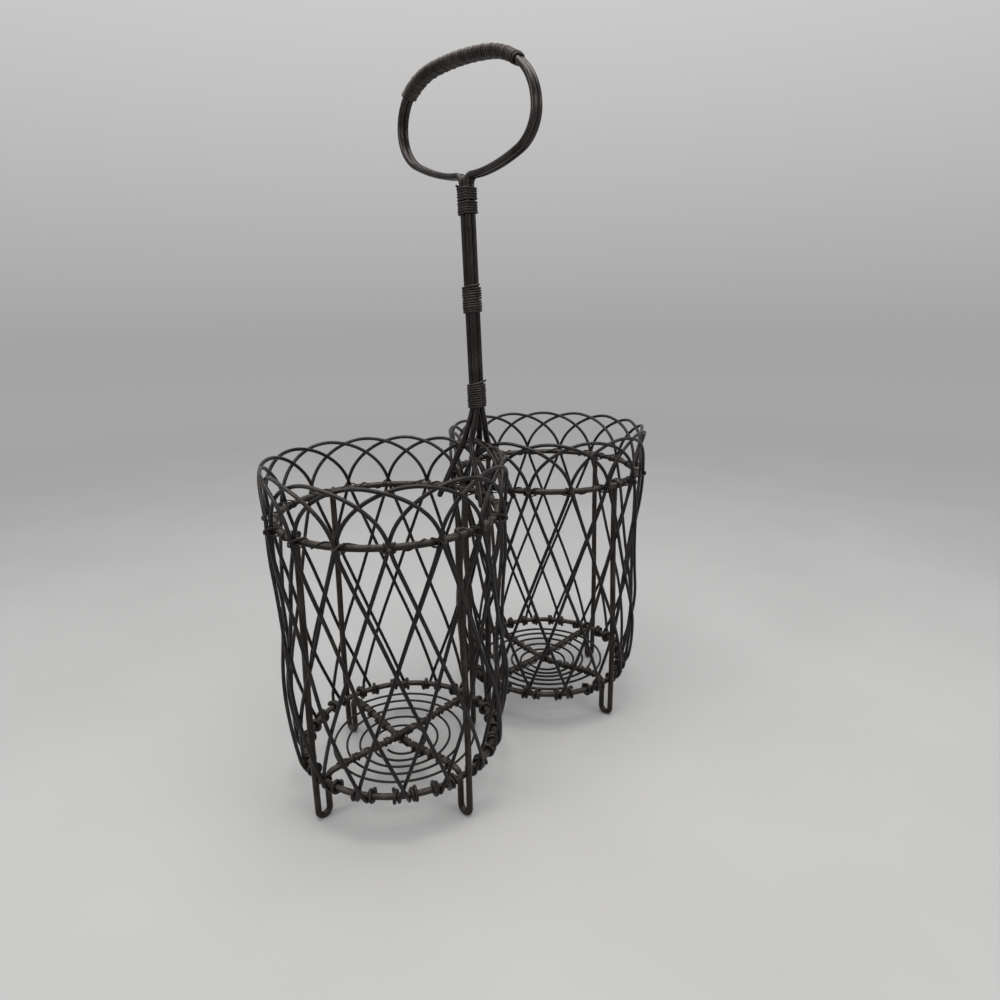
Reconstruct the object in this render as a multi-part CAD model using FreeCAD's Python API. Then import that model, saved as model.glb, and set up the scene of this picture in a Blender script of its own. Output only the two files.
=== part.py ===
import FreeCAD, Part
import math
import os

Vector = FreeCAD.Vector

# A caddy for two bottles, bent and woven from iron wire. Lengths are in millimetres.
# The origin is on the floor below the stem, X runs from the left basket to the right one, Z is up.

# Wire diameters, and the room left between wires that touch
heavy_wire = 3.3
lattice_wire = 1.9
spiral_wire = 1.3
binding_wire = 1.2
grip_wire = 1.0
seat_gap = 0.05

# Baskets: upper hoop, the base ring below it and the bent wires that carry them
basket_gap = 1.1
hoop_radius = 56.1
hoop_height = 154.9
base_ring_inset = 4.1
base_ring_height = 23.8
post_stub = 2.2
post_straight_rise = 6.2
spoke_rise = 0.55
spoke_sag = 1.35
spoke_bend_radius = 4.2
foot_flat = 0.3

# Floor spiral
spiral_inner_radius = 10.2
spiral_margin = 1.05
spiral_start = math.radians(180)
spiral_quarters = 19

# Lattice: each wire rises from the base ring, arches over the hoop and goes down again
lattice_count = 16
lattice_phase = math.radians(8.5)
arch_span_count = 3
arch_height = 27.4
arch_power = 1.09
leg_lean_count = 2
leg_dip = 2.6
leg_dip_end_share = 0.76
leg_stand_off = 2.35
base_draw_power = 5
hook_clearance = 0.3
hook_turn_gap = 0.5
hook_turns = 1.0
inner_tuck = math.radians(3)
outer_tuck = math.radians(38)
layer_change_share = 0.33
crown_knot_shares = (0.2, 0.5, 0.8)
leg_knot_shares = (0.05, 0.38, 0.76, 0.955)

# Handle: four strands of two wires in the stem, then one loop of both wires
strand_angle = math.radians(16)
strand_stub = 7.4
strand_bend_rise = 2.1
strand_waist_rise = 0.7
strand_waist_angle = math.radians(2.5)
strand_bend_run = 3.0
stem_gather = 9.5
stem_length = 123.0
loop_height = 57.4
loop_half_width = 48.8
loop_shoulder_rise = math.radians(10)
loop_corner_slope = math.radians(34)
loop_shoulder_shares = (0.291, 0.0871)
loop_middle_share = 0.5139
loop_corner_shares = (0.789, 0.8589)
loop_tilt = math.radians(1.9)
handle_lean = math.radians(2.3)
lean_share = 0.5488

# Windings: bindings round the stem and the wrapped grip
binding_turn_gap = 0.46
binding_turns = 8
binding_place_shares = {"bottom": 0.0783, "middle": 0.5464, "top": 0.9961}
grip_reach = 43.4
grip_short_reach = 38.4
grip_loops = 24

# Sizes that follow from the ones above: the baskets
lattice_step = 2 * math.pi / lattice_count
inner_layer = hoop_radius + heavy_wire / 2 + lattice_wire / 2 + seat_gap
outer_layer = inner_layer + lattice_wire + seat_gap
middle_layer = (inner_layer + outer_layer) / 2
basket_spacing = 2 * outer_layer + lattice_wire + basket_gap
base_ring_radius = hoop_radius - base_ring_inset
base_draw = inner_layer - base_ring_radius - leg_stand_off
hook_radius = heavy_wire / 2 + lattice_wire / 2 + seat_gap
hook_offset = lattice_wire + hook_clearance
hook_pitch = lattice_wire + hook_turn_gap
foot_radius = heavy_wire + seat_gap
inside_hoop = hoop_radius - heavy_wire - seat_gap
spoke_height = base_ring_height + spoke_rise
spoke_end = base_ring_radius - foot_radius - spoke_bend_radius
cross_sag = spoke_sag + heavy_wire + seat_gap
spiral_outer_radius = spoke_end - spiral_margin
spiral_drop = heavy_wire / 2 + spiral_wire / 2 + 2 * seat_gap

# Sizes that follow from the ones above: the handle
inside_lattice = inner_layer - lattice_wire / 2 - heavy_wire / 2 - seat_gap
strand_offset = heavy_wire / 2 + seat_gap / 2
strand_bend_height = hoop_height + strand_bend_rise
strand_waist_height = hoop_height + arch_height + strand_waist_rise
stem_bottom_height = strand_waist_height + stem_gather
stem_top_height = stem_bottom_height + stem_length
lean_height = stem_bottom_height + lean_share * stem_length
binding_pitch = binding_wire + binding_turn_gap
binding_room = stem_length - binding_turns * binding_pitch - binding_wire

# Small numbers without a unit, for directions and straight runs
step_share = 1e-4
straight_share = 1e-5
points_per_wire = 2
skipped_points = 8
up = Vector(0, 0, 1)


def polar(radius, angle, height):
    """A point about an upright axis."""
    return Vector(radius * math.cos(angle), radius * math.sin(angle), height)


def knot(curve, at):
    """The point of a curve at a number, and the direction of travel there."""
    way = curve(at + step_share) - curve(at - step_share)
    return curve(at), way.normalize()


def turned_back(knots):
    """The same path from its far end."""
    return [(point, way * -1) for point, way in reversed(knots)]


def arc_or_line(start, corner, end):
    """One edge whose tangents at start and end meet at the corner."""
    middle = (start + end) * 0.5
    rise = corner - middle
    half_chord = start.distanceToPoint(end) / 2
    if rise.Length < half_chord * straight_share:
        return Part.makeLine(start, end)
    slant = math.atan2(rise.Length, half_chord)
    crest = middle + rise * (half_chord * math.tan(slant / 2) / rise.Length)
    return Part.Arc(start, crest, end).toShape()


def biarc(start, start_way, end, end_way):
    """Two arcs that leave start and reach end in the given directions, or one straight line."""
    run = end - start
    along = run.dot(start_way + end_way)
    bend = 1 - start_way.dot(end_way)
    if bend < straight_share ** 2:
        reach = run.dot(run) / (2 * along)
    else:
        reach = (math.sqrt(along ** 2 + 2 * bend * run.dot(run)) - along) / (2 * bend)
    first_corner = start + start_way * reach
    last_corner = end - end_way * reach
    if first_corner.distanceToLine(start, run) < run.Length * straight_share:
        return [Part.makeLine(start, end)]
    meeting = (first_corner + last_corner) * 0.5
    return [arc_or_line(start, first_corner, meeting), arc_or_line(meeting, last_corner, end)]


def spine(knots):
    """The arcs and straight runs through a list of knots."""
    edges = []
    for (start, start_way), (end, end_way) in zip(knots, knots[1:]):
        edges += biarc(start, start_way, end, end_way)
    return Part.Wire(edges)


def bent_wire(knots, diameter):
    """A round wire along a spine, with its volume compared with section times length."""
    path = spine(knots)
    rim = Part.Wire(Part.makeCircle(diameter / 2, *knots[0]))
    solid = path.makePipeShell([rim], True, False)
    expected = math.pi * diameter ** 2 / 4 * path.Length
    if not solid.isValid() or abs(solid.Volume / expected - 1) > straight_share:
        raise ValueError("a bent wire is not the tube it should be")
    return solid


def ring(radius, height):
    """A closed hoop of heavy wire."""
    return Part.makeTorus(radius, heavy_wire / 2, Vector(0, 0, height), up)


def crown_knots(side):
    """Half of an arch, from its peak to the hoop. Side -1 is in the inner layer and 1 in the outer."""
    half_span = arch_span_count * lattice_step / 2

    def crown(tilt):
        angle = math.copysign(half_span * abs(math.sin(tilt)) ** arch_power, tilt)
        share = min(abs(angle) / (layer_change_share * lattice_step), 1)
        change = share * share * (3 - 2 * share)
        radius = middle_layer + math.copysign(change, angle) * (outer_layer - middle_layer)
        return polar(radius, angle, hoop_height + arch_height * math.cos(tilt) ** arch_power)

    tilts = [side * share * math.pi / 2 for share in crown_knot_shares]
    return [(point, way * side) for point, way in (knot(crown, tilt) for tilt in tilts)]


def leg_knots(side, half_span, base_span):
    """One leg, from just below the hoop to just above the base ring, where it is drawn inward."""
    layer = inner_layer if side < 0 else outer_layer

    def leg(share):
        slack = math.sin(math.pi * min(share / leg_dip_end_share, 1)) ** 2
        radius = layer - leg_dip * slack - base_draw * share ** base_draw_power
        angle = half_span + share * (base_span - half_span)
        height = hoop_height + share * (base_ring_height - hoop_height)
        return polar(radius, side * angle, height)

    return [knot(leg, share) for share in leg_knot_shares]


def hook_knots(side, base_span):
    """The end of a leg, wound once round the base ring in quarter turns."""
    tuck = inner_tuck if side < 0 else outer_tuck

    def hook(turn):
        roll = -tuck - 2 * math.pi * turn
        radius = base_ring_radius + hook_radius * math.cos(roll)
        angle = base_span + hook_pitch * turn / base_ring_radius
        return polar(radius, side * angle, base_ring_height + hook_radius * math.sin(roll))

    quarters = round(4 * hook_turns)
    return [knot(hook, hook_turns * quarter / quarters) for quarter in range(quarters + 1)]


def lattice_wire_knots():
    """A lattice wire about the basket's axis, with the peak of its arch on the X axis."""
    half_span = arch_span_count * lattice_step / 2
    base_span = half_span + leg_lean_count * lattice_step + hook_offset / base_ring_radius
    halves = [
        crown_knots(side) + leg_knots(side, half_span, base_span) + hook_knots(side, base_span)
        for side in (-1, 1)
    ]
    over = halves[1][0][0] - halves[0][0][0]
    peak = polar(middle_layer, 0, hoop_height + arch_height), over.normalize()
    return turned_back(halves[0]) + [peak] + halves[1]


def cradle_wire_knots(sag):
    """Two posts, their feet and the sagging spoke between them, bent from one wire in the XZ plane."""
    foot_height = foot_radius + heavy_wire / 2 - foot_flat
    outer_leg = base_ring_radius + foot_radius
    inner_leg = base_ring_radius - foot_radius
    inward = Vector(-1, 0, 0)
    half = [
        (Vector(inside_hoop, 0, hoop_height + post_stub), up * -1),
        (Vector(inside_hoop, 0, hoop_height), up * -1),
        (Vector(outer_leg, 0, base_ring_height + post_straight_rise), up * -1),
        (Vector(outer_leg, 0, foot_height), up * -1),
        (Vector(base_ring_radius, 0, foot_height - foot_radius), inward),
        (Vector(inner_leg, 0, foot_height), up),
        (Vector(inner_leg, 0, spoke_height - spoke_bend_radius), up),
        (Vector(spoke_end, 0, spoke_height), inward),
    ]
    middle = (Vector(0, 0, spoke_height - sag), inward)
    flip = FreeCAD.Rotation(up, 180)
    other = [(flip.multVec(point), flip.multVec(way)) for point, way in half]
    return half + [middle] + turned_back(other)


def cradle_wire_solid(sag):
    """A cradle wire with the undersides of its feet filed flat on the floor."""
    wire = bent_wire(cradle_wire_knots(sag), heavy_wire)
    floor_side = 2 * (base_ring_radius + foot_radius + heavy_wire)
    corner = Vector(-floor_side / 2, -floor_side / 2, -heavy_wire)
    return wire.cut(Part.makeBox(floor_side, floor_side, heavy_wire, corner)).Solids[0]


def floor_spiral_knots():
    """The dished spiral below the spokes, in quarter turns."""
    spoke_curve = (spoke_end ** 2 + cross_sag ** 2) / (4 * cross_sag)

    def spiral(quarter):
        outward = (spiral_outer_radius - spiral_inner_radius) * quarter / spiral_quarters
        radius = spiral_inner_radius + outward
        run = min(radius, spoke_end - radius)
        bow = spoke_curve - math.sqrt(spoke_curve ** 2 - run ** 2)
        fall = bow if run < radius else cross_sag - bow
        return polar(radius, spiral_start + quarter * math.pi / 2, spoke_height - fall - spiral_drop)

    return [knot(spiral, quarter) for quarter in range(spiral_quarters + 1)]


def leaned(point):
    """Shifts a point of the upright handle to where the leaning stem and tilted loop have it."""
    sideways = math.tan(handle_lean) * (point.z - lean_height)
    return point + Vector(0, sideways, math.tan(loop_tilt) * point.y)


def leaned_knot(point, way):
    return leaned(point), (leaned(point + way) - leaned(point)).normalize()


def loop_knots(across, offset, front):
    """One half of the leaning handle, from the foot of the stem to the corner above the loop's side."""
    shoulder_way = Vector(0, front * math.cos(loop_shoulder_rise), math.sin(loop_shoulder_rise))
    corner_way = Vector(0, -front * math.cos(loop_corner_slope), math.sin(loop_corner_slope))

    def on_loop(out_share, up_share):
        out = front * loop_half_width * out_share
        return Vector(across, out, stem_top_height + loop_height * up_share)

    upright = [
        (Vector(across, front * offset, stem_bottom_height), up),
        (Vector(across, front * offset, stem_top_height), up),
        (on_loop(*loop_shoulder_shares), shoulder_way),
        (on_loop(1, loop_middle_share), up),
        (on_loop(*loop_corner_shares), corner_way),
    ]
    return [leaned_knot(*bend) for bend in upright]


def loop_top_knot(across):
    return leaned_knot(Vector(across, 0, stem_top_height + loop_height), Vector(0, -1, 0))


def beside_stem(side, front, radius, angle, height):
    """A point about the axis of a basket, measured from the direction of the stem."""
    away = polar(radius, front * angle, height)
    return Vector(side * (basket_spacing / 2 - away.x), away.y, away.z)


def strand_foot_knots(side, front, stem_foot):
    """The splayed end of a strand, from its stub inside the hoop past the arches to the stem."""
    stub = beside_stem(side, front, inside_hoop, strand_angle, hoop_height - strand_stub)
    low_bend = beside_stem(side, front, inside_hoop, strand_angle, strand_bend_height)
    waist = beside_stem(side, front, inside_lattice, strand_waist_angle, strand_waist_height)
    high_bend = leaned(stem_foot - up * strand_bend_run)
    lower_way = (waist - low_bend).normalize()
    upper_way = (high_bend - waist).normalize()
    return [
        (stub, up),
        (low_bend - up * strand_bend_run, up),
        (low_bend + lower_way * strand_bend_run, lower_way),
        (waist - lower_way * strand_bend_run, lower_way),
        (waist + upper_way * strand_bend_run, upper_way),
        (high_bend - upper_way * strand_bend_run, upper_way),
    ]


def handle_wire_knots(side):
    """A wire from one basket's hoop up the stem, round the loop and back down to the same hoop."""
    halves = []
    for front in (1, -1):
        stem_foot = Vector(side * strand_offset, front * strand_offset, stem_bottom_height)
        loop = loop_knots(side * strand_offset, strand_offset, front)
        halves.append(strand_foot_knots(side, front, stem_foot) + loop)
    return halves[0] + [loop_top_knot(side * strand_offset)] + turned_back(halves[1])


def least_gap(path, diameter, name):
    """Prints the room between neighbouring turns, measured on points of the centre line."""
    points = path.discretize(Distance=diameter / points_per_wire)
    room = min(
        point.distanceToPoint(other)
        for index, point in enumerate(points)
        for other in points[index + skipped_points:]
    )
    print(f"{name}: least gap to itself {room - diameter:.2f} mm")


def stem_binding_solid(place):
    """A wire wound tightly round the four strands, with a round corner at each strand."""
    corner_radius = heavy_wire / 2 + binding_wire / 2 + seat_gap
    flat_run = 2 * strand_offset
    corner_run = corner_radius * math.pi / 2
    turn_run = 4 * (flat_run + corner_run)
    climb = binding_pitch / turn_run
    foot = stem_bottom_height + binding_room * binding_place_shares[place] + binding_wire / 2
    knots = []
    travelled = 0
    for corner in range(4 * binding_turns):
        middle_turn = math.pi / 2 * corner
        strand = polar(strand_offset * math.sqrt(2), middle_turn + math.pi / 4, 0)
        for turn in (middle_turn, middle_turn + math.pi / 2):
            point = strand + polar(corner_radius, turn, foot + travelled * climb)
            way = polar(1, turn + math.pi / 2, climb)
            knots.append((point, way.normalize()))
            travelled += corner_run if turn == middle_turn else flat_run
    least_gap(spine(knots), binding_wire, f"stem_binding_{place}")
    upright = bent_wire(knots, binding_wire)
    return upright.rotated(Vector(0, 0, lean_height), Vector(-1, 0, 0), math.degrees(handle_lean))


def along(path, distance):
    """The point and direction at a distance along a path."""
    for edge in path.Edges:
        if distance <= edge.Length:
            break
        distance -= edge.Length
    at = edge.getParameterByLength(distance)
    return edge.valueAt(at), edge.tangentAt(at)


def grip_wrap_solid():
    """A wire wound round both wires of the loop, further down one shoulder than the other."""
    sides = [loop_knots(0, 0, front)[-2:] for front in (1, -1)]
    path = spine(sides[0] + [loop_top_knot(0)] + turned_back(sides[1]))
    start = path.Length / 2 - grip_reach
    half_turn_radius = heavy_wire / 2 + grip_wire / 2 + seat_gap
    across = Vector(1, 0, 0)
    half_run = math.pi * half_turn_radius
    loop_run = 2 * (half_run + 2 * strand_offset)
    pitch = (grip_reach + grip_short_reach) / grip_loops
    knots = []
    travelled = 0
    for half in range(2 * grip_loops):
        side = -1 if half % 2 else 1
        for face in (side, -side):
            point, way = along(path, start + travelled * pitch / loop_run)
            outward = across.cross(way)
            place = point + across * (side * strand_offset) + outward * (face * half_turn_radius)
            knots.append((place, (across * face * loop_run + way * pitch).normalize()))
            travelled += half_run if face == side else 2 * strand_offset
    least_gap(spine(knots), grip_wire, "grip_wrap")
    return bent_wire(knots, grip_wire)


def basket_pieces():
    """Every piece of one basket about its own axis, by name."""
    pieces = {
        "hoop": ring(hoop_radius, hoop_height),
        "base_ring": ring(base_ring_radius, base_ring_height),
        "cradle_wire_long": cradle_wire_solid(spoke_sag),
        "cradle_wire_cross": cradle_wire_solid(cross_sag).rotated(Vector(), up, 90),
        "floor_spiral": bent_wire(floor_spiral_knots(), spiral_wire),
    }
    woven = bent_wire(lattice_wire_knots(), lattice_wire)
    for number in range(lattice_count):
        turn = math.degrees(lattice_phase + (number + arch_span_count / 2) * lattice_step)
        pieces[f"lattice_wire_{number + 1:02d}"] = woven.rotated(Vector(), up, turn)
    return pieces


def caddy_pieces():
    """Every node of the caddy in its place."""
    nodes = {}
    for name, side in (("left", -1), ("right", 1)):
        nodes[f"handle_wire_{name}"] = bent_wire(handle_wire_knots(side), heavy_wire)
    for place in binding_place_shares:
        nodes[f"stem_binding_{place}"] = stem_binding_solid(place)
    nodes["grip_wrap"] = grip_wrap_solid()
    for name, piece in basket_pieces().items():
        left = piece.translated(Vector(-basket_spacing / 2, 0, 0))
        nodes[f"left_{name}"] = left
        nodes[f"right_{name}"] = left.rotated(Vector(), up, 180)
    return nodes


os.makedirs("parts", exist_ok=True)
for node, solid in caddy_pieces().items():
    solid.exportStep(f"parts/{node}.step")
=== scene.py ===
import math

import bpy
import numpy as np
from mathutils import Matrix, Vector


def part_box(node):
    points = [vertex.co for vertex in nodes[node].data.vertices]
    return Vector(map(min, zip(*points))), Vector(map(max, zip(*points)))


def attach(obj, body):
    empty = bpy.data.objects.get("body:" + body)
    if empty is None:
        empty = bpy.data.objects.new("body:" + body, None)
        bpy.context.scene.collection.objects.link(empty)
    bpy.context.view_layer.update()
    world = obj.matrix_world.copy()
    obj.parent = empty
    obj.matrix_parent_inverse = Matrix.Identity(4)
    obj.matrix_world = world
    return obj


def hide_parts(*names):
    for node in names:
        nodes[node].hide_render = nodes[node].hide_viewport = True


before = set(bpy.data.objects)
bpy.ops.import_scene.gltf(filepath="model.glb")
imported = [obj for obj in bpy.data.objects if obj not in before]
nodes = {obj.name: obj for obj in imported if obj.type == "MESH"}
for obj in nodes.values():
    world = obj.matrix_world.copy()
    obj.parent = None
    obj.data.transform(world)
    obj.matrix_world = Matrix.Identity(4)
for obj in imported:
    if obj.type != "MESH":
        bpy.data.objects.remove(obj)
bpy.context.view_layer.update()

# Lengths are in metres. The frame gives every place that the trim is tied to.
mm = 0.001
half_turn = math.pi
full_turn = 2 * math.pi

# Wires of the frame
heavy_wire = 3.3 * mm
lattice_wire = 1.9 * mm
spiral_wire = 1.3 * mm
seat_gap = 0.05 * mm
lattice_count = 16
lattice_step = full_turn / lattice_count
lattice_phase = math.radians(8.5)
post_count = 4
strand_angle = math.radians(16)
loop_middle = Vector((0, 3.4, 346)) * mm

# Wires of the trim
tie_wire = 0.72 * mm
spoke_tie_wire = 0.75 * mm
stem_wire = 1.2 * mm
grip_wire = 1.0 * mm
close_wire = 1.5 * mm

# Roundness of a wire: it has 4 sides, and 2 more for each step
tie_roundness = 2
winding_roundness = 3
spiral_roundness = 4
strand_roundness = 6

# Points in one turn of a wire
tie_points = 30
winding_points = 30
hook_points = 26
spiral_points = 64

# Angles at which the reach of a tight turn is kept
turn_steps = 96
turn_angles = np.arange(turn_steps) * (full_turn / turn_steps)
turn_ways = np.stack([np.cos(turn_angles), np.sin(turn_angles)])
least_lean = 0.05


# Reading the frame

def shape_of(piece):
    """Corners and edges of a piece's mesh."""
    mesh = piece.data
    corners = np.empty(3 * len(mesh.vertices))
    mesh.vertices.foreach_get("co", corners)
    edges = np.empty(2 * len(mesh.edges), dtype=int)
    mesh.edges.foreach_get("vertices", edges)
    return corners.reshape(-1, 3), edges.reshape(-1, 2)


def cut(shape, point, way):
    """Where a plane through a point crosses the edges of a shape."""
    corners, edges = shape
    height = (corners - np.array(point)) @ np.array(way)
    crossed = edges[(height[edges[:, 0]] < 0) != (height[edges[:, 1]] < 0)]
    low, high = height[crossed[:, 0]], height[crossed[:, 1]]
    share = (low / (low - high))[:, None]
    return corners[crossed[:, 0]] * (1 - share) + corners[crossed[:, 1]] * share


# Wire pieces

def select(*pieces):
    """Selects pieces alone. The last one is active."""
    bpy.ops.object.select_all(action="DESELECT")
    for piece in pieces:
        piece.select_set(True)
        bpy.context.view_layer.objects.active = piece


def merge_corners():
    bpy.ops.mesh.select_all(action="SELECT")
    bpy.ops.mesh.remove_doubles(threshold=0.001 * mm)


# How far a filed end stands past a wire's last point, and how thick it is there, in diameters
tip = 0.4, 0.6
shoulder = 0.25, 0.87


def bent_wire(name, points, diameter, roundness):
    """A round wire bent along a line of points, with both ends filed round."""
    first, last = points[0] - points[1], points[-1] - points[-2]
    first, last = (way * (diameter / np.linalg.norm(way)) for way in (first, last))
    line = np.vstack([points[0] + tip[0] * first, points[0] + shoulder[0] * first, points,
                      points[-1] + shoulder[0] * last, points[-1] + tip[0] * last])
    bpy.ops.object.select_all(action="DESELECT")
    bpy.ops.curve.primitive_nurbs_path_add()
    wire = bpy.context.object
    path = wire.data
    path.splines.clear()
    run = path.splines.new("POLY")
    run.points.add(len(line) - 1)
    run.points.foreach_set("co", np.column_stack([line, np.ones(len(line))]).ravel())
    for place, (_, share) in ((0, tip), (1, shoulder), (-2, shoulder), (-1, tip)):
        run.points[place].radius = share
    path.bevel_depth = diameter / 2
    path.bevel_resolution = roundness
    path.use_fill_caps = True
    bpy.ops.object.convert(target="MESH")
    wire.name = wire.data.name = name
    bpy.ops.object.mode_set(mode="EDIT")
    merge_corners()
    bpy.ops.object.mode_set(mode="OBJECT")
    bpy.ops.object.shade_smooth()
    return wire


def dress(piece, finish):
    piece.data.materials.clear()
    piece.data.materials.append(finish)
    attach(piece, "root")


# Turns pulled tight round what they tie

def tight_reach(section, thickness):
    """Distance of a tight turn's middle from the origin of a section, for every angle."""
    support = (np.asarray(section) @ turn_ways).max(axis=0) + thickness / 2
    lean = np.cos(turn_angles[:, None] - turn_angles[None, :])
    limits = np.where(lean > least_lean, support[None, :] / np.maximum(lean, least_lean), np.inf)
    return limits.min(axis=1)


def discs(*places):
    """Points on the rims of round wires that a plane cuts: (across, up, diameter) each."""
    rims = [np.array([across, up]) + turn_ways.T * (wide / 2) for across, up, wide in places]
    return np.vstack(rims)


def at_angle(reach, angle):
    return np.interp(angle, turn_angles, reach, period=full_turn)


def smooth(share):
    share = np.clip(share, 0, 1)
    return share * share * (3 - 2 * share)


class Tie:
    """A fine wire that runs along a heavier one, tying other wires to it on the way."""

    # How far a turn lifts over an earlier one, in diameters, and how far it moves on behind
    over_lift, beside_lift, behind_share = 0.75, 0.1, 0.4

    def __init__(self, thickness, start, angle, fade):
        self.thickness = thickness
        self.fade = fade
        self.bare = tight_reach(discs((0, 0, heavy_wire)), thickness)
        self.features = []
        self.runs = [np.array([start])]
        self.angles = [np.array([angle])]
        self.lifts = [np.array([0.0])]

    def feature(self, middle, half_width, section):
        """Something beside the wire that the turns near its middle go round as well."""
        self.features.append((middle, half_width, tight_reach(section, self.thickness)))

    def go(self, to, turn, lift=0.0):
        """Moves along the wire while turning round it."""
        steps = max(3, round(abs(turn) / full_turn * tie_points))
        share = np.arange(1, steps + 1) / steps
        start = self.runs[-1][-1]
        self.runs.append(start + (to - start) * smooth(share))
        self.angles.append(self.angles[-1][-1] + turn * share)
        self.lifts.append(lift * np.sin(math.pi * share))

    def cross(self, middle, spread, pairs, step):
        """Crossed turns over a joint: slantwise over its face and straight behind it."""
        for pair in range(pairs):
            wide = spread + pair * step
            for side in (1, -1):
                lift = self.over_lift if side < 0 else self.beside_lift * pair
                self.go(middle + side * wide, half_turn, self.thickness * lift)
                self.go(middle + side * (wide + step * self.behind_share), half_turn)

    def reach(self):
        """Way along the wire, angle round it and distance from its middle, point by point."""
        along, angle = np.concatenate(self.runs), np.concatenate(self.angles)
        bare = at_angle(self.bare, angle)
        reach = bare.copy()
        for middle, half_width, table in self.features:
            near = smooth(1 - (abs(along - middle) - half_width) / self.fade)
            reach = np.maximum(reach, bare + (at_angle(table, angle) - bare) * near)
        waver = 0.05 * mm * np.sin(along / mm * 1.7) * np.sin(angle * 0.37 + 1)
        return along, angle, reach + np.concatenate(self.lifts) + waver


def round_hoop(tie, axis, radius, height):
    """Points of a tie that runs round a hoop. Angle 0 faces out and a quarter turn up."""
    along, angle, reach = tie.reach()
    bearing = along / radius
    out = radius + reach * np.cos(angle)
    return np.stack([axis.x + out * np.cos(bearing), axis.y + out * np.sin(bearing),
                     height + reach * np.sin(angle)], axis=1)


def along_spoke(tie, axis, bearing, heights):
    """Points of a tie on a spoke. Angle 0 faces down, and heights are the spoke's own, each with
    its radius."""
    along, angle, reach = tie.reach()
    across = reach * np.sin(angle)
    height = np.interp(along, heights[:, 0], heights[:, 1]) - reach * np.cos(angle)
    return np.stack([axis.x + along * math.cos(bearing) - across * math.sin(bearing),
                     axis.y + along * math.sin(bearing) + across * math.cos(bearing),
                     height], axis=1)


# Close windings

def slack(angle, phase):
    """How proud of a tight winding its turns stand, from 0 to 1, as a hand leaves them."""
    slow, quick = np.sin(angle * 0.23 + phase), np.sin(angle * 0.61 + 2 * phase)
    return 0.5 + 0.25 * slow + 0.25 * quick


def directions(line):
    """Direction of a line of points, and the two directions across it. The first is along X."""
    way = np.gradient(line, axis=0)
    way /= np.linalg.norm(way, axis=1)[:, None]
    first = np.array([1.0, 0, 0]) - way * way[:, :1]
    first /= np.linalg.norm(first, axis=1)[:, None]
    return way, first, np.cross(way, first)


def evenly(line, count):
    """Points at equal distances along a line of points, and its length."""
    steps = np.linalg.norm(np.diff(line, axis=0), axis=1)
    run = np.concatenate([[0], np.cumsum(steps)])
    places = np.linspace(0, run[-1], count)
    points = [np.interp(places, run, line[:, column]) for column in range(3)]
    return np.stack(points, axis=1), run[-1]


def reach_tables(shapes, line, room, thickness):
    """Reach of a tight turn round the wires near each point of a line."""
    tables = []
    for middle, way, first, second in zip(line, *directions(line)):
        points = np.vstack([cut(shape, middle, way) for shape in shapes]) - middle
        points = points[np.linalg.norm(points, axis=1) < room]
        section = np.stack([points @ first, points @ second], axis=1)
        tables.append(tight_reach(section, thickness))
    return np.array(tables)


def wound(line, tables, along, angle, lift):
    """Points of a wire wound round a line of points, each with its reach table. Every step has
    come along a share of the line, and to an angle, with some lift off a tight turn."""
    place = np.clip(along, 0, 1) * (len(line) - 1)
    low = np.minimum(place.astype(int), len(line) - 2)
    part = (place - low)[:, None]

    def between(values):
        return values[low] * (1 - part) + values[low + 1] * part

    column = np.mod(angle, full_turn) / full_turn * turn_steps
    left = column.astype(int) % turn_steps
    right_share = column - column.astype(int)
    rows = np.arange(len(along))
    near = between(tables)
    reach = near[rows, left] * (1 - right_share)
    reach = reach + near[rows, (left + 1) % turn_steps] * right_share + lift
    first, second = (between(values) for values in directions(line)[1:])
    across = first * (reach * np.cos(angle))[:, None]
    return between(line) + across + second * (reach * np.sin(angle))[:, None]


# Materials

def link(tree, source, target):
    tree.links.new(source, target)


def noise(tree, where, scale, detail, rough):
    node = tree.nodes.new("ShaderNodeTexNoise")
    node.inputs["Scale"].default_value = scale
    node.inputs["Detail"].default_value = detail
    node.inputs["Roughness"].default_value = rough
    link(tree, where, node.inputs["Vector"])
    return node.outputs["Fac"]


def ramp(tree, value, stops):
    node = tree.nodes.new("ShaderNodeValToRGB")
    while len(node.color_ramp.elements) < len(stops):
        node.color_ramp.elements.new(0.5)
    for element, (place, colour) in zip(node.color_ramp.elements, stops):
        element.position = place
        element.color = (*colour, 1)
    link(tree, value, node.inputs["Fac"])
    return node.outputs["Color"]


def spread(tree, value, low, high, to_low, to_high):
    node = tree.nodes.new("ShaderNodeMapRange")
    limits = {"From Min": low, "From Max": high, "To Min": to_low, "To Max": to_high}
    for name, number in limits.items():
        node.inputs[name].default_value = number
    link(tree, value, node.inputs["Value"])
    return node.outputs["Result"]


def reckoned(tree, operation, first, second):
    node = tree.nodes.new("ShaderNodeMath")
    node.operation = operation
    link(tree, first, node.inputs[0])
    link(tree, second, node.inputs[1])
    return node.outputs["Value"]


def mixed(tree, share, first, second):
    node = tree.nodes.new("ShaderNodeMix")
    node.data_type = "RGBA"
    link(tree, share, node.inputs["Factor"])
    link(tree, first, node.inputs["A"])
    link(tree, second, node.inputs["B"])
    return node.outputs["Result"]


def parts_of(tree, vector):
    node = tree.nodes.new("ShaderNodeSeparateXYZ")
    link(tree, vector, node.inputs["Vector"])
    return node.outputs


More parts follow.
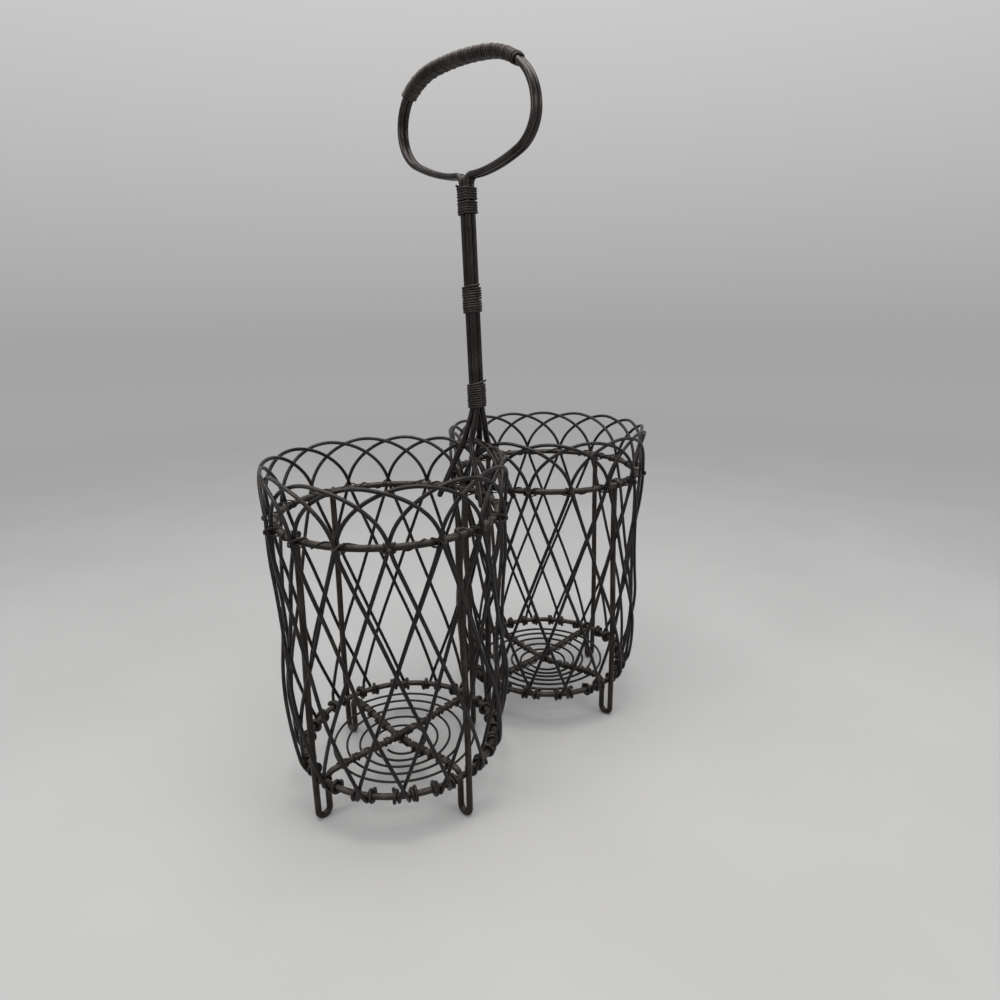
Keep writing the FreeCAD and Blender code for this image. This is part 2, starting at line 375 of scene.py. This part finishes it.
def iron(name, dark, body, worn, dust_and_highlight, dust_and_highlight_share, rough, pitting, gloss=0.35, painted_light_above=None):
    """Aged iron wire: brown-black oxide in patches, worn greyer spots, and dust on what faces up,
    which also serves as a painted highlight on the upper sides.
    A wire that is carried is painted brighter above the heights at which a hand holds it: painted
    light on the loop, which is nearer the top lamp."""
    material = bpy.data.materials.new(name)
    material.use_nodes = True
    tree = material.node_tree
    shader = tree.nodes["Principled BSDF"]
    where = tree.nodes.new("ShaderNodeTexCoord").outputs["Object"]
    patches = noise(tree, where, scale=70, detail=6, rough=0.62)
    speckle = noise(tree, where, scale=420, detail=2, rough=0.5)
    grain = noise(tree, where, scale=1000, detail=1, rough=0.5)
    wear_and_painted_light = patches
    # Painted light: above these heights the wire is pushed towards its lighter colour, as if lit
    # more strongly from above
    if painted_light_above:
        painted_top_light = spread(tree, parts_of(tree, where)["Z"], *painted_light_above, 0.0, 0.1)
        wear_and_painted_light = reckoned(tree, "ADD", patches, painted_top_light)
    oxide = ramp(tree, wear_and_painted_light, [(0.32, dark), (0.5, body), (0.68, worn)])
    fine = ramp(tree, speckle, [(0.3, dark), (0.72, worn)])
    colour = mixed(tree, spread(tree, grain, 0.35, 0.7, 0.12, 0.5), oxide, fine)

    facing = parts_of(tree, tree.nodes.new("ShaderNodeNewGeometry").outputs["Normal"])
    # Lighter colour on upward faces: partly real dust, partly a painted highlight where the top
    # lamps light the wires
    upward = spread(tree, facing["Z"], 0.15, 0.95, 0.0, dust_and_highlight_share)
    dust_and_highlight_mask = reckoned(tree, "MULTIPLY", upward, spread(tree, speckle, 0.34, 0.66, 0.25, 1.0))
    thin_dust_and_highlight = tuple(0.7 * part for part in dust_and_highlight)
    dust_and_highlight_colour = ramp(tree, patches, [(0.3, thin_dust_and_highlight), (0.7, dust_and_highlight)])
    link(tree, mixed(tree, dust_and_highlight_mask, colour, dust_and_highlight_colour), shader.inputs["Base Color"])

    link(tree, spread(tree, speckle, 0.3, 0.7, *rough), shader.inputs["Roughness"])
    bump = tree.nodes.new("ShaderNodeBump")
    bump.inputs["Strength"].default_value = pitting
    bump.inputs["Distance"].default_value = 0.12 * mm
    link(tree, reckoned(tree, "ADD", speckle, grain), bump.inputs["Height"])
    link(tree, bump.outputs["Normal"], shader.inputs["Normal"])
    shader.inputs["Metallic"].default_value = 0.35
    shader.inputs["Specular IOR Level"].default_value = gloss
    return material


# The handle is painted brighter above 0.295 m, as painted top light on the loop
handle_iron = iron(
    "handle_iron", dark=(0.0056, 0.0026, 0.0024), body=(0.0128, 0.0064, 0.0061),
    worn=(0.037, 0.0305, 0.0285), dust_and_highlight=(0.14, 0.127, 0.119), dust_and_highlight_share=0.3,
    rough=(0.15, 0.26), pitting=0.04, gloss=0.42, painted_light_above=(0.295, 0.33))
hoop_iron = iron(
    "hoop_iron", dark=(0.0065, 0.0045, 0.0038), body=(0.0148, 0.0110, 0.0095),
    worn=(0.041, 0.0325, 0.0275), dust_and_highlight=(0.185, 0.157, 0.134), dust_and_highlight_share=0.72,
    rough=(0.34, 0.6), pitting=0.16)
base_iron = iron(
    "base_iron", dark=(0.0085, 0.0056, 0.0047), body=(0.0195, 0.0138, 0.0118),
    worn=(0.052, 0.0400, 0.0340), dust_and_highlight=(0.17, 0.143, 0.123), dust_and_highlight_share=0.55,
    rough=(0.32, 0.55), pitting=0.16)
lattice_iron = iron(
    "lattice_iron", dark=(0.0047, 0.0037, 0.0036), body=(0.0100, 0.0081, 0.0078),
    worn=(0.0255, 0.0210, 0.0196), dust_and_highlight=(0.13, 0.113, 0.103), dust_and_highlight_share=0.42,
    rough=(0.28, 0.48), pitting=0.1)
spiral_iron = iron(
    "spiral_iron", dark=(0.0048, 0.0036, 0.0032), body=(0.0092, 0.0073, 0.0066),
    worn=(0.0225, 0.0184, 0.0165), dust_and_highlight=(0.085, 0.073, 0.064), dust_and_highlight_share=0.26,
    rough=(0.36, 0.55), pitting=0.1)
tie_iron = iron(
    "tie_iron", dark=(0.007, 0.0054, 0.005), body=(0.016, 0.013, 0.012),
    worn=(0.042, 0.035, 0.032), dust_and_highlight=(0.15, 0.13, 0.118), dust_and_highlight_share=0.45,
    rough=(0.36, 0.55), pitting=0.1)
binding_iron = iron(
    "binding_iron", dark=(0.0068, 0.0045, 0.0042), body=(0.0150, 0.0108, 0.0102),
    worn=(0.040, 0.0310, 0.0288), dust_and_highlight=(0.15, 0.128, 0.117), dust_and_highlight_share=0.45,
    rough=(0.34, 0.52), pitting=0.1)
# Painted light: a lighter copy of the binding iron for the grip, which sits high on the loop near
# the top lamp
lit_grip_iron = iron(
    "lit_grip_iron", dark=(0.0105, 0.0070, 0.0064), body=(0.027, 0.0195, 0.0180),
    worn=(0.074, 0.058, 0.0530), dust_and_highlight=(0.22, 0.19, 0.172), dust_and_highlight_share=0.6,
    rough=(0.26, 0.42), pitting=0.1, gloss=0.45)
node_irons = {"handle": handle_iron, "hoop": hoop_iron, "lattice": lattice_iron,
              "spiral": spiral_iron}

for node_name, node in nodes.items():
    node.data.materials.clear()
    fitting = [material for word, material in node_irons.items() if word in node_name]
    node.data.materials.append(fitting[0] if fitting else base_iron)


# Bindings of the stem, closer and fuller than the frame's own

handle = [shape_of(nodes[f"handle_wire_{side}"]) for side in ("left", "right")]
stem_room = 9 * mm
stem_pitch = 1.03 * stem_wire
stem_slack = 0.2 * stem_wire
tail_turns = 0.3
gap_start, gap_share = 0.46, 0.09

# For each binding: the angle of its end, the slant of its last turns, the gap between its two
# halves, and how far its end stands up and off the stem
stem_windings = {"bottom": (math.radians(-50), 0.45 * mm, 0, 0.9 * mm, 0.5 * mm),
                 "middle": (math.radians(-75), 0.3 * mm, 0.25 * mm, 0.5 * mm, 0.3 * mm),
                 "top": (math.radians(136), 0.4 * mm, 0.6 * mm, 0.3 * mm, 0.45 * mm)}


def stem_middle(height):
    points = np.vstack([cut(shape, (0, 0, height), (0, 0, 1)) for shape in handle])
    return points.mean(axis=0)


for number, (place, (end_angle, slant, gap, rise, lift)) in enumerate(stem_windings.items()):
    low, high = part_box(f"stem_binding_{place}")
    start, end = low.z + stem_wire / 2, high.z - stem_wire / 2
    heights = np.linspace(start, end + rise + slant, 14)
    line = np.array([stem_middle(height) for height in heights])
    tables = reach_tables(handle, line, stem_room, stem_wire)
    turns = (end - start - gap) / stem_pitch
    share = np.linspace(0, 1, round(turns * winding_points) + 1)
    angle = end_angle - full_turn * turns * (1 - share)
    tail = np.clip(1 - (1 - share) * turns / tail_turns, 0, 1)
    height = start + (end - start - gap) * share + gap * smooth((share - gap_start) / gap_share)
    height = height + slant * share ** 2 * np.cos(angle - end_angle) + rise * tail ** 1.5
    off = stem_slack * slack(angle, number) + lift * tail ** 2
    points = wound(line, tables, (height - start) / (heights[-1] - start), angle, off)
    piece = bent_wire(f"stem_winding_{place}", points, stem_wire, winding_roundness)
    dress(piece, binding_iron)
    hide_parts(f"stem_binding_{place}")


# Handle wires whose strands spread in one sweep from the lowest binding, and end slantwise inside
# the hoops. The points are those of the left wire's two strands, in millimetres.

front_strand = [(-1.7, -3.8, 207), (-1.7, -4.05, 201.5), (-3.9, -3.9, 192), (-6.25, -3.3, 182.5),
                (-8.0, -6.6, 174), (-9.6, -10.4, 166), (-11.2, -13.9, 158), (-12.75, -17.4, 150.3)]
back_strand = [(-1.7, -0.45, 207), (-1.7, -0.65, 201.5), (-3.9, 0.75, 192), (-6.2, 2.9, 182.3),
               (-8.0, 6.6, 174), (-9.6, 10.4, 166), (-11.2, 13.9, 158), (-12.75, 17.4, 150.3)]
strand_top = 206 * mm


def flowing(corners):
    """A smooth line through a few given points."""
    ways = np.gradient(corners, axis=0)
    share = np.linspace(0, 1, 12, endpoint=False)[:, None]
    rest = 1 - share
    bends = [first * (1 + 2 * share) * rest ** 2 + first_way * share * rest ** 2
             + second * share ** 2 * (3 - 2 * share) - second_way * share ** 2 * rest
             for first, first_way, second, second_way in zip(corners, ways, corners[1:], ways[1:])]
    return np.vstack(bends + [corners[-1:]])


for side, mirror in (("left", 1), ("right", -1)):
    node_name = f"handle_wire_{side}"
    upper = bpy.data.objects.new(f"splayed_handle_{side}", nodes[node_name].data.copy())
    bpy.context.scene.collection.objects.link(upper)
    select(upper)
    bpy.ops.object.mode_set(mode="EDIT")
    merge_corners()
    bpy.ops.mesh.bisect(plane_co=(0, 0, strand_top), plane_no=(0, 0, 1), clear_inner=True,
                        use_fill=True)
    bpy.ops.object.mode_set(mode="OBJECT")
    lower = [bent_wire("strand", flowing(np.array(points) * (mirror * mm, mm, mm)), heavy_wire,
                       strand_roundness) for points in (front_strand, back_strand)]
    select(*lower, upper)
    bpy.ops.object.join()
    bpy.ops.object.shade_smooth_by_angle(angle=math.radians(40))
    dress(upper, handle_iron)
    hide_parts(node_name)


# Winding of the grip, closer and fuller than the frame's own

loop_room = 7 * mm
grip_pitch = 1.18 * grip_wire
grip_slack = 0.42 * grip_wire
grip_sway = 0.15 * mm


def loop_point(angle):
    """Middle of the two loop wires, seen from the middle of the loop."""
    out = np.array([0, math.cos(angle), math.sin(angle)])
    points = np.vstack([cut(shape, loop_middle, (0, -out[2], out[1])) for shape in handle])
    points = points[(points - np.array(loop_middle)) @ out > 0]
    return points.mean(axis=0)


wrap_corners = shape_of(nodes["grip_wrap"])[0] - np.array(loop_middle)
wrap_angles = np.arctan2(wrap_corners[:, 2], wrap_corners[:, 1])
loop_angles = np.linspace(wrap_angles.min(), wrap_angles.max(), 120)
line, length = evenly(np.array([loop_point(angle) for angle in loop_angles]), 90)
tables = reach_tables(handle, line, loop_room, grip_wire)
turns = length / grip_pitch
share = np.linspace(0, 1, round(turns * winding_points) + 1)
angle = full_turn * turns * share
along = share + grip_sway / length * np.sin(angle * 0.17) * np.sin(math.pi * share)
points = wound(line, tables, along, angle, grip_slack * slack(angle, 1))
piece = bent_wire("grip_winding", points, grip_wire, winding_roundness)
dress(piece, lit_grip_iron)
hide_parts("grip_wrap")


# Ties of the left hoop, and the same turned about the stem for the right one

low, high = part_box("left_hoop")
left_axis = (low + high) / 2
right_axis = Vector((-left_axis.x, -left_axis.y, left_axis.z))
hoop_height = left_axis.z
hoop_radius = (high.x - low.x - heavy_wire) / 2
lattice_out = heavy_wire / 2 + seat_gap + lattice_wire / 2
crossing = discs((0, 0, heavy_wire), (lattice_out, 0, lattice_wire),
                 (lattice_out + lattice_wire + seat_gap, 0, lattice_wire))
upright = discs((0, 0, heavy_wire), (-heavy_wire - seat_gap, 0, heavy_wire))
crossings = [(lattice_phase + number * lattice_step) * hoop_radius
             for number in range(-1, lattice_count + 1)]
posts = [number * full_turn / post_count * hoop_radius for number in range(post_count)]
strands = [strand_angle * side * hoop_radius for side in (-1, 1)]
crossing_half_width = 1.2 * mm
upright_half_width = 2.2 * mm
hoop_fade = 2.2 * mm
hoop_step = 0.8 * mm


def in_both_baskets(name, left, finish):
    """Names and dresses a piece of the left basket, and its copy in the right one."""
    left.name = left.data.name = f"left_{name}"
    select(left)
    bpy.ops.object.duplicate()
    right = bpy.context.object
    right.name = right.data.name = f"right_{name}"
    bpy.ops.transform.rotate(value=half_turn, orient_axis="Z", center_override=(0, 0, 0))
    bpy.ops.object.transform_apply(location=True, rotation=True, scale=True)
    dress(left, finish)
    dress(right, finish)


def hoop_tie(start, angle):
    """A tie about to run round the left hoop."""
    tie = Tie(tie_wire, start, angle, hoop_fade)
    for middle in crossings:
        tie.feature(middle, crossing_half_width, crossing)
    for middle in posts + strands:
        tie.feature(middle, upright_half_width, upright)
    return tie


def add_hoop_ties(name, tie):
    points = round_hoop(tie, left_axis, hoop_radius, hoop_height)
    in_both_baskets(name, bent_wire(name, points, tie_wire, tie_roundness), tie_iron)


tie = hoop_tie(crossings[1] - 2.6 * mm, -half_turn / 2)
for number, middle in enumerate(crossings[1:-1]):
    wide = (2.0 + 0.5 * math.sin(number * 2.4)) * mm
    tie.cross(middle, wide, 1 + number % 3 % 2, hoop_step)
    tie.go(middle + wide + 1.0 * mm, half_turn, 0.8 * tie_wire)
    tie.go(crossings[number + 2] - 2.8 * mm, half_turn * (1 if number % 2 else 3))
add_hoop_ties("hoop_tie", tie)

upright_names = [f"post_tie_{number + 1}" for number in range(post_count)]
upright_names += ["strand_tie_1", "strand_tie_2"]
for name, middle in zip(upright_names, posts + strands):
    tie = hoop_tie(middle - 2.4 * mm, half_turn / 2)
    tie.cross(middle, upright_half_width, 2, hoop_step)
    add_hoop_ties(name, tie)


# Further turns of the lattice wires' ends round the base rings. They go on from where the frame's
# hooks end: so far from the crossing of two wires, and tucked so far under the ring on each side.

hook_end = 4.6 * mm
hook_tucks = {1: math.radians(38), -1: math.radians(3)}
hook_pitch = 1.3 * mm
hook_climb = 0.75 * mm
climb_turns = 0.3
hook_turn_counts = (0.95, 0.7, 0.85, 0.5, 0.9, 0.62, 0.8)
low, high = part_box("left_base_ring")
ring_height = (low.z + high.z) / 2
ring_radius = (high.x - low.x - heavy_wire) / 2


def hook_turns(bearing, side, turns):
    """Points of a wire's end that goes on round the base ring, and lies half on its last turn."""
    turn = np.linspace(0, turns, round(hook_points * turns) + 1)
    roll = -hook_tucks[side] - full_turn * turn
    reach = lattice_out + hook_climb * smooth(turn / climb_turns)
    bearing = bearing + side * (hook_end + hook_pitch * turn) / ring_radius
    out = ring_radius + reach * np.cos(roll)
    return np.stack([left_axis.x + out * np.cos(bearing), left_axis.y + out * np.sin(bearing),
                     ring_height + reach * np.sin(roll)], axis=1)


ends = []
for number in range(lattice_count):
    for side in (-1, 1):
        beside_post = side < 0 and number % (lattice_count // post_count) == 0
        if not beside_post:
            turns = hook_turn_counts[(2 * number + side) % len(hook_turn_counts)]
            points = hook_turns(lattice_phase + number * lattice_step, side, turns)
            ends.append(bent_wire("hook_turns", points, lattice_wire, winding_roundness))
select(*ends)
bpy.ops.object.join()
in_both_baskets("hook_turns", bpy.context.object, lattice_iron)


# Right floor spiral, wound closer than the frame's own

close_inner_radius = 10.6 * mm
close_outer_radius = 43.4 * mm
close_start = math.radians(134)
close_turns = 5.3
ring_gap = 1.5 * mm


def turns_met(shape, axis, bearing):
    """Radius and height at which a plane through a basket's axis meets each turn of its spiral."""
    way = np.array([math.cos(bearing), math.sin(bearing), 0])
    met = cut(shape, axis, (-way[1], way[0], 0)) - np.array([axis.x, axis.y, 0])
    met = met[np.argsort(met @ way)]
    groups = np.split(met, np.where(np.diff(met @ way) > ring_gap)[0] + 1)
    return [((group @ way).mean(), group[:, 2].mean()) for group in groups]


def close_spiral():
    """A spiral of the frame's dish and width, wound closer."""
    shape = shape_of(nodes["right_floor_spiral"])
    dish = np.array([(abs(radius), height) for bearing in (0, half_turn / 2)
                     for radius, height in turns_met(shape, right_axis, bearing)])
    dish = dish[np.argsort(dish[:, 0])]
    share = np.linspace(0, 1, round(close_turns * spiral_points) + 1)
    radius = close_inner_radius + (close_outer_radius - close_inner_radius) * share
    angle = close_start + full_turn * close_turns * share
    height = np.interp(radius, dish[:, 0], dish[:, 1]) - (close_wire - spiral_wire) / 2
    points = np.stack([right_axis.x + radius * np.cos(angle),
                       right_axis.y + radius * np.sin(angle), height], axis=1)
    piece = bent_wire("right_close_spiral", points, close_wire, spiral_roundness)
    dress(piece, spiral_iron)
    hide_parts("right_floor_spiral")
    return piece


# Ties of the spokes

spoke_reach = 42 * mm
spoke_top = 40 * mm
spoke_radii = np.arange(-43, 43.1, 2) * mm
spoke_fade = 0.8 * mm
spoke_step = 0.7 * mm
ring_half_width = 0.7 * mm
ring_spread = 1.2 * mm
ring_lead = 1.5 * mm
most_drop = 3.2 * mm
hub = 6 * mm
hub_half_width = 1.9 * mm
hub_turns = {"long": 13, "cross": 5}


def add_spoke_tie(side, name, bearing, axis, spiral, thickness):
    """A tie that holds a spiral to the spoke above it, and thickens where the spokes cross."""
    shape = shape_of(nodes[f"{side}_cradle_wire_{name}"])
    way = np.array([math.cos(bearing), math.sin(bearing), 0])
    heights = []
    for radius in spoke_radii:
        points = cut(shape, np.array(axis) + way * radius, way)
        heights.append((radius, points[points[:, 2] < spoke_top][:, 2].mean()))
    heights = np.array(heights)
    tie = Tie(spoke_tie_wire, -spoke_reach, 0, spoke_fade)
    rings = turns_met(spiral, axis, bearing)
    for radius, height in rings:
        drop = np.interp(radius, heights[:, 0], heights[:, 1]) - height
        if drop < most_drop:
            section = discs((0, 0, heavy_wire), (drop, 0, thickness))
            tie.feature(radius, ring_half_width, section)
    if name == "long":
        section = discs((0, 0, heavy_wire), (heavy_wire + seat_gap, 0, heavy_wire))
        tie.feature(0, hub_half_width, section)

    def tie_rings(half):
        for radius, _ in rings:
            if radius * half > 0:
                tie.go(radius - ring_lead, full_turn)
                tie.cross(radius, ring_spread, 1, spoke_step)

    tie_rings(-1)
    tie.go(-hub, full_turn)
    tie.go(hub, full_turn * hub_turns[name])
    tie_rings(1)
    tie.go(spoke_reach, 2 * full_turn)
    points = along_spoke(tie, axis, bearing, heights)
    wire = bent_wire(f"{side}_spoke_tie_{name}", points, spoke_tie_wire, tie_roundness)
    dress(wire, tie_iron)


left_spiral = shape_of(nodes["left_floor_spiral"])
right_spiral = shape_of(close_spiral())
for name, bearing in (("long", 0), ("cross", half_turn / 2)):
    add_spoke_tie("left", name, bearing, left_axis, left_spiral, spiral_wire)
    add_spoke_tie("right", name, bearing + half_turn, right_axis, right_spiral, close_wire)


# Floor, which fades out far from the object

floor_size = 6
fade_start, fade_end = 0.35, 1.5
bpy.ops.object.select_all(action="DESELECT")
bpy.ops.mesh.primitive_plane_add(size=floor_size)
floor = bpy.context.object
floor.name = floor.data.name = "floor"
paper = bpy.data.materials.new("floor_paper")
paper.use_nodes = True
tree = paper.node_tree
where = tree.nodes.new("ShaderNodeTexCoord").outputs["Object"]
shade = ramp(tree, noise(tree, where, scale=6, detail=3, rough=0.5),
             [(0.3, (0.497, 0.494, 0.492)), (0.7, (0.537, 0.533, 0.531))])
sheet = tree.nodes["Principled BSDF"]
link(tree, shade, sheet.inputs["Base Color"])
sheet.inputs["Roughness"].default_value = 0.75
distance = tree.nodes.new("ShaderNodeVectorMath")
distance.operation = "LENGTH"
link(tree, where, distance.inputs[0])
faded = spread(tree, distance.outputs["Value"], fade_start, fade_end, 1.0, 0.0)
link(tree, faded, sheet.inputs["Alpha"])
floor.data.materials.append(paper)


# Surroundings: an even light, and a darker wall that is seen behind the object and in its gloss

world = bpy.data.worlds.new("studio")
bpy.context.scene.world = world
world.use_nodes = True
tree = world.node_tree
lit = tree.nodes["Background"]
lit.inputs["Color"].default_value = (0.97, 0.985, 1.0, 1)
lit.inputs["Strength"].default_value = 0.48
seen = tree.nodes.new("ShaderNodeBackground")
sky = parts_of(tree, tree.nodes.new("ShaderNodeTexCoord").outputs["Generated"])
wall = ramp(tree, spread(tree, sky["Z"], -0.4, 0.4, 0.0, 1.0),
            [(0.0, (0.42, 0.42, 0.425)), (0.45, (0.37, 0.366, 0.37)), (1.0, (0.62, 0.62, 0.615))])
link(tree, wall, seen.inputs["Color"])
rays = tree.nodes.new("ShaderNodeLightPath").outputs
shows_wall = rays["Is Camera Ray"]
for name in ("Is Glossy Ray", "Is Transmission Ray"):
    shows_wall = reckoned(tree, "MAXIMUM", shows_wall, rays[name])
choice = tree.nodes.new("ShaderNodeMixShader")
link(tree, shows_wall, choice.inputs["Fac"])
link(tree, lit.outputs["Background"], choice.inputs[1])
link(tree, seen.outputs["Background"], choice.inputs[2])
link(tree, choice.outputs["Shader"], tree.nodes["World Output"].inputs["Surface"])


# Lamps

def lamp(name, place, aim, size, power):
    data = bpy.data.lights.new(name, "AREA")
    data.shape = "RECTANGLE"
    data.size, data.size_y = size
    data.energy = power
    data.color = (1.0, 0.985, 0.965)
    light = bpy.data.objects.new(name, data)
    light.location = place
    light.rotation_euler = (Vector(aim) - Vector(place)).to_track_quat("-Z", "Y").to_euler()
    bpy.context.scene.collection.objects.link(light)


lamp("top_lamp", place=(-0.1, -0.1, 1.0), aim=(0, 0, 0), size=(0.9, 0.5), power=6.2)
lamp("left_lamp", place=(-0.9, 0.2, 0.75), aim=(0, 0, 0.15), size=(0.3, 0.5), power=2.0)
lamp("front_lamp", place=(0.3, -1.0, 0.7), aim=(0, 0, 0.15), size=(0.5, 0.3), power=2.0)


# Camera

camera_place = (-0.2558, -0.2695, 0.2531)
yaw, pitch, roll = math.radians(-45.61), math.radians(-15.9), math.radians(-0.7)
sensor_width = 36
focal_share = 0.6652
forward = Vector((-math.sin(yaw) * math.cos(pitch), math.cos(yaw) * math.cos(pitch),
                  math.sin(pitch)))
level = Vector((math.cos(yaw), math.sin(yaw), 0))
over = level.cross(forward)
right = level * math.cos(roll) + over * math.sin(roll)
upward = over * math.cos(roll) - level * math.sin(roll)
turned = Matrix((right, upward, -forward)).transposed().to_4x4()
camera_data = bpy.data.cameras.new("camera")
camera_data.sensor_width = sensor_width
camera_data.lens = sensor_width * focal_share
camera_data.clip_start = 0.01
camera = bpy.data.objects.new("camera", camera_data)
camera.matrix_world = Matrix.Translation(camera_place) @ turned
bpy.context.scene.collection.objects.link(camera)
bpy.context.scene.camera = camera
bpy.context.scene.view_settings.view_transform = "Standard"
